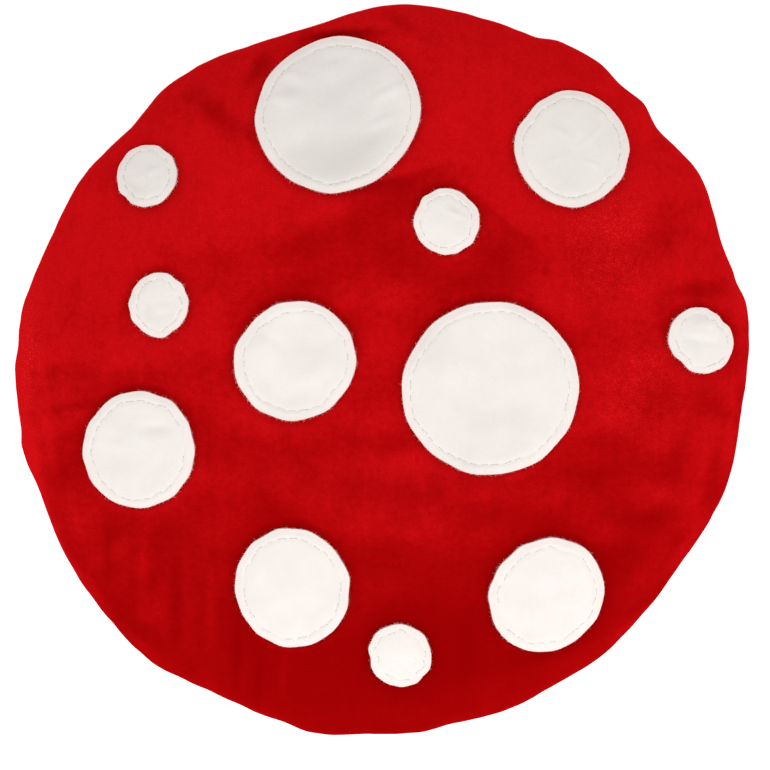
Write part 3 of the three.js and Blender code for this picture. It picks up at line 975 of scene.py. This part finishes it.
def make_fuzz(spot, number, cap):
    """Loose wool fibres that stand out of the spot's cut edge."""
    dice = np.random.default_rng(700 + number)
    count = int(math.pi * spot.cut / FIBRE_GAP)
    angle = dice.uniform(0, 2 * math.pi, count)
    edge = cut_radius(spot, number, angle)
    inside = dice.uniform(0, FIBRE_ROOTS, count)
    middle = spot_middle(spot)
    x = middle[0] + (edge - inside) * np.cos(angle)
    y = middle[1] + (edge - inside) * np.sin(angle)
    root, normals = cap.land(x, y)
    length = dice.gamma(1.6, 0.28, count).clip(0.2, 1.8) * MM
    lean = angle + dice.normal(0, 0.7, count)
    rise = dice.uniform(-0.2, 0.6, count)
    start = dice.uniform(0.3, 1.7, count) * MM
    curl = dice.normal(0, 0.5, count)
    t = np.linspace(0, 1, len(FIBRE_TAPER))
    width = np.array(FIBRE_TAPER) * FIBRE_RADIUS
    parts = []
    for i in range(count):
        heading = lean[i] + curl[i] * t
        reach = length[i] * t
        px = root[i, 0] + reach * np.cos(heading)
        py = root[i, 1] + reach * np.sin(heading)
        pz = root[i, 2] + start[i] + rise[i] * reach - FIBRE_SAG * reach * t
        parts.append(tube(np.stack([px, py, pz], -1), np.tile(normals[i], (len(t), 1)), width, 3))
    piece = merge("fuzz_" + spot.node, parts, smooth=False)
    # The fibres get part of the cut edge's painted light
    keep_numbers(piece, "cut", np.full(len(piece.data.vertices), FUZZ_GLOW))
    return piece


class Nodes:
    """Short calls for building a material."""

    def __init__(self, name):
        self.material = bpy.data.materials.new(name)
        self.material.use_nodes = True
        self.tree = self.material.node_tree
        self.shader = self.tree.nodes["Principled BSDF"]

    def add(self, kind, **inputs):
        """A node with its inputs set by name, or by number where that is v0, v1 and so on."""
        node = self.tree.nodes.new("ShaderNode" + kind)
        for key, value in inputs.items():
            name = key.replace("_", " ")
            socket = node.inputs[name] if name in node.inputs else node.inputs[int(key[1:])]
            self.give(socket, value)
        return node

    def give(self, socket, value):
        """Sets a socket, or links another node or output to it."""
        if hasattr(value, "links"):
            self.tree.links.new(value, socket)
        elif hasattr(value, "outputs"):
            self.tree.links.new(value.outputs[0], socket)
        else:
            socket.default_value = value

    def math(self, operation, a, b, c=0.0):
        node = self.tree.nodes.new("ShaderNodeMath")
        node.operation = operation
        for socket, value in zip(node.inputs, (a, b, c)):
            self.give(socket, value)
        return node.outputs[0]

    def noise(self, place, scale, detail, roughness):
        node = self.add("TexNoise", Vector=place, Scale=scale, Detail=detail, Roughness=roughness)
        return node.outputs["Fac"]

    def number(self, name):
        """A number kept at each point of the mesh."""
        node = self.tree.nodes.new("ShaderNodeAttribute")
        node.attribute_name = name
        return node.outputs["Fac"]

    def between(self, value, low, high, out_low=0.0, out_high=1.0):
        node = self.tree.nodes.new("ShaderNodeMapRange")
        node.interpolation_type = "SMOOTHSTEP"
        for name, v in (("Value", value), ("From Min", low), ("From Max", high),
                        ("To Min", out_low), ("To Max", out_high)):
            self.give(node.inputs[name], v)
        return node.outputs["Result"]

    def blend(self, share, a, b):
        """A mix of two colours, which are sockets 6 and 7 and output 2 of that node."""
        node = self.tree.nodes.new("ShaderNodeMix")
        node.data_type = "RGBA"
        self.give(node.inputs["Factor"], share)
        self.give(node.inputs[6], a)
        self.give(node.inputs[7], b)
        return node.outputs[2]

    def bump(self, height, strength, distance):
        return self.add("Bump", Height=height, Strength=strength, Distance=distance).outputs[0]

    def set(self, **values):
        """Sets or links inputs of the material's shader."""
        for key, value in values.items():
            self.give(self.shader.inputs[key.replace("_", " ")], value)


# Colours, in the renderer's linear units
VELOUR_DARK = (0.28, 0.0002, 0.0005, 1)
VELOUR_LIGHT = (0.605, 0.0035, 0.0055, 1)
# Painted glint of the pile's tips
VELOUR_GLINT = (0.95, 0.02, 0.025, 1)
VELOUR_SHEEN = (1.0, 0.02, 0.025, 1)
FELT_DARK = (0.84, 0.79, 0.75, 1)
FELT_LIGHT = (0.89, 0.84, 0.80, 1)
# Painted shade of the felt
FELT_SHADED = (0.7, 0.655, 0.615, 1)
# Painted light of the felt's cut edge
FELT_EDGE_LIGHT = (1.0, 0.74, 0.70, 1)
THREAD_DARK = (0.66, 0.62, 0.58, 1)
THREAD_LIGHT = (0.82, 0.77, 0.73, 1)
# Painted shadow in the thread's holes
THREAD_HOLE_SHADOW = (0.12, 0.11, 0.1, 1)
FLOOR_DARK = (0.9, 0.9, 0.9, 1)
FLOOR_LIGHT = (0.92, 0.92, 0.92, 1)
BLACK = (0.0, 0.0, 0.0, 1)
WHITE = (1, 1, 1, 1)

# Fine relief of the pile and of the felt
RELIEF_STRENGTH = 0.35
RELIEF_DEPTH = 0.5 * MM

# Painted shading by slope: the way the pile leans, how far a slope faces that way where its painted
# tone is 0 and 1, and the painted sheen tone that the steepest slopes away from it get back
NAP_LEAN = (-0.08, 0.997, 0.0)
NAP_SHADED_SLOPE = -0.34
NAP_LIT_SLOPE = 0.22
NAP_GRAZING_SLOPE = -0.85
GRAZING_SHEEN_TONE = 0.15

# Blotches of crushed pile, from broad to fine: the share of each in the mottle. Dark pile shows
# a small share of it, pale pile the whole.
BROAD_SHARE = 0.35
PATCH_SHARE = 0.65
CRUSH_SHARE = 0.75
STREAK_SHARE = 0.35
MOTTLE_TONES = (-0.2, 1.0)
MOTTLE_SHARES = (0.22, 1.0)
TONE_RANGE = (-0.3, 1.3)

# How much painted glint the pile's tips get everywhere, and how much more in the listed places
GLINTS_EVERYWHERE = 0.3
GLINTS_LISTED = 0.75


def velour_material():
    """Red pile, with painted shade and light by its slope and in its listed marks, painted glints on
    its tips, painted shadow along the spots' edges, and its blotches.
    """
    n = Nodes("red_velour")
    place = n.add("TexCoord").outputs["Object"]
    broad = n.noise(place, 26.0, 2.0, 0.55)
    patch = n.noise(place, 85.0, 3.0, 0.6)
    crush = n.noise(place, 300.0, 3.0, 0.6)
    streaks = n.add("Mapping", Vector=place, Scale=(170.0, 9.0, 60.0))
    streak = n.noise(streaks.outputs[0], 1.0, 2.0, 0.6)
    grain = n.noise(place, 1500.0, 2.0, 0.7)
    height = n.math("ADD", n.math("MULTIPLY", crush, 0.7), n.math("MULTIPLY", grain, 0.3))
    bumped = n.bump(height, RELIEF_STRENGTH, RELIEF_DEPTH)
    # Painted shading: slopes that face the way the pile leans are painted lighter and the others
    # darker, for how light falls on the leaning pile
    lean = n.add("VectorMath", v0=bumped, v1=NAP_LEAN)
    lean.operation = "DOT_PRODUCT"
    lean = lean.outputs["Value"]
    grazing_sheen = n.between(lean, NAP_GRAZING_SLOPE, NAP_SHADED_SLOPE, GRAZING_SHEEN_TONE, 0.0)
    tone = n.math("ADD", n.between(lean, NAP_SHADED_SLOPE, NAP_LIT_SLOPE), grazing_sheen)
    # Painted light and shade of the listed marks, with some brushing of the pile
    tone = n.math("ADD", tone, n.number("painted_light_and_brushing"))
    mottle = 0.0
    for layer, share in ((broad, BROAD_SHARE), (patch, PATCH_SHARE), (crush, CRUSH_SHARE),
                         (streak, STREAK_SHARE)):
        mottle = n.math("ADD", mottle, n.math("MULTIPLY_ADD", layer, share, -share / 2))
    tone = n.math("MULTIPLY_ADD", mottle, n.between(tone, *MOTTLE_TONES, *MOTTLE_SHARES), tone)
    tone = n.between(tone, *TONE_RANGE)
    colour = n.blend(tone, VELOUR_DARK, VELOUR_LIGHT)
    # Painted glints: tips of the pile are painted bright where the painted tone is light, most in
    # the listed places
    painted_glints = n.math("MULTIPLY_ADD", n.number("painted_glints"), GLINTS_LISTED, GLINTS_EVERYWHERE)
    glint_weight = n.math("MULTIPLY", n.math("MULTIPLY", tone, tone), painted_glints)
    glints = n.math("MULTIPLY", n.between(grain, 0.5, 0.7), glint_weight)
    colour = n.blend(glints, colour, VELOUR_GLINT)
    # Painted shadow along the spots' edges and in creases, mixed towards black
    colour = n.blend(n.number("pressed"), colour, BLACK)
    n.set(Base_Color=colour, Normal=bumped, Roughness=0.95, Specular_IOR_Level=0.0)
    n.set(Sheen_Weight=0.3, Sheen_Roughness=0.4, Sheen_Tint=VELOUR_SHEEN)
    return n.material


def felt_material():
    """White wool felt, with painted shade where FELT_SHADES says, and painted light at its cut edge.
    """
    n = Nodes("white_felt")
    place = n.add("TexCoord").outputs["Object"]
    cloud = n.noise(place, 60.0, 3.0, 0.6)
    fibre = n.noise(place, 700.0, 4.0, 0.65)
    fine = n.noise(place, 2400.0, 2.0, 0.6)
    tone = n.math("ADD", n.math("MULTIPLY", cloud, 0.6), n.math("MULTIPLY", fibre, 0.4))
    colour = n.blend(n.between(tone, 0.3, 0.7), FELT_DARK, FELT_LIGHT)
    colour = n.blend(n.number("shade"), colour, FELT_SHADED)
    # Painted light: the cut edge and its loose fibres are painted paler, and pink for the red light
    # from the pile beside them
    colour = n.blend(n.number("cut"), colour, FELT_EDGE_LIGHT)
    height = n.math("ADD", n.math("MULTIPLY", fibre, 0.7), n.math("MULTIPLY", fine, 0.3))
    n.set(Base_Color=colour, Normal=n.bump(height, RELIEF_STRENGTH, RELIEF_DEPTH))
    n.set(Roughness=1.0, Specular_IOR_Level=0.05, Sheen_Weight=0.06, Sheen_Roughness=0.5)
    return n.material


def thread_material():
    """White sewing thread, with painted shadow where it goes down into its hole."""
    n = Nodes("white_thread")
    place = n.add("TexCoord").outputs["Object"]
    ply = n.noise(place, 3000.0, 1.0, 0.5)
    colour = n.blend(ply, THREAD_DARK, THREAD_LIGHT)
    # Painted shadow where the thread goes down into its hole
    colour = n.blend(n.number("hole_shadow"), colour, THREAD_HOLE_SHADOW)
    n.set(Base_Color=colour, Roughness=0.7)
    return n.material


# The table: half its side, how far its face lies below the hat, and how much it glows, which
# makes it as white as the photograph's ground
FLOOR_HALF = 3.0
FLOOR_DROP = 0.2 * MM
FLOOR_GLOW = 0.65


def floor_material():
    n = Nodes("pale_floor")
    place = n.add("TexCoord").outputs["Object"]
    cloud = n.noise(place, 3.0, 2.0, 0.5)
    n.set(Base_Color=n.blend(cloud, FLOOR_DARK, FLOOR_LIGHT), Roughness=0.9)
    n.set(Specular_IOR_Level=0.05, Emission_Color=WHITE, Emission_Strength=FLOOR_GLOW)
    return n.material


def make_floor():
    sides = [(-1, -1), (1, -1), (1, 1), (-1, 1)]
    corners = [(x * FLOOR_HALF, y * FLOOR_HALF, -FLOOR_DROP) for x, y in sides]
    floor = new_piece("floor", corners, [(0, 1, 2, 3)], smooth=False)
    floor.data.materials.append(floor_material())


# The light: an even surround, and one broad lamp in front of the hat and above it
WORLD_STRENGTH = 0.48
KEY_PLACE = (0.15, -1.05, 2.25)
KEY_SIZE = 2.2
KEY_WATTS = 45


def make_light():
    world = bpy.data.worlds.new("studio")
    world.use_nodes = True
    surround = world.node_tree.nodes["Background"]
    surround.inputs["Color"].default_value = WHITE
    surround.inputs["Strength"].default_value = WORLD_STRENGTH
    bpy.context.scene.world = world
    data = bpy.data.lights.new("key", "AREA")
    data.shape = "DISK"
    data.size = KEY_SIZE
    data.energy = KEY_WATTS
    light = bpy.data.objects.new("key", data)
    light.location = KEY_PLACE
    light.rotation_euler = (-Vector(KEY_PLACE)).to_track_quat("-Z", "Y").to_euler()
    bpy.context.scene.collection.objects.link(light)


def make_camera():
    data = bpy.data.cameras.new("camera")
    data.lens = CAMERA_LENS
    data.sensor_width = SENSOR_WIDTH
    camera = bpy.data.objects.new("camera", data)
    camera.location = CAMERA_PLACE
    bpy.context.scene.collection.objects.link(camera)
    bpy.context.scene.camera = camera


make_camera()
make_light()
make_floor()
bpy.context.scene.view_settings.view_transform = "Standard"

velour = velour_material()
felt = felt_material()
thread = thread_material()

# The cap comes first, because its box gives the shift that centres the whole hat
cap_top = make_cap_top()
spans = np.array([v.co[:2] for v in cap_top.data.vertices])
plan_shift = -(spans.min(0) + spans.max(0)) / 2
recentre(cap_top, plan_shift)
clothe(cap_top, "cap_top", velour)
paint_velour_light(cap_top)
cap_under = make_cap_under()
recentre(cap_under, plan_shift)
clothe(cap_under, "cap_under", velour)
head_band = make_head_band()
recentre(head_band, plan_shift)
clothe(head_band, "head_band", velour)

cap_tree = CapTree(cap_top)
for number, spot in enumerate(SPOTS):
    disc = clothe(make_spot(spot, number, cap_tree), spot.node, felt)
    seam = clothe(make_stitches(spot, number, cap_tree), None, thread)
    fuzz = clothe(make_fuzz(spot, number, cap_tree), None, felt)
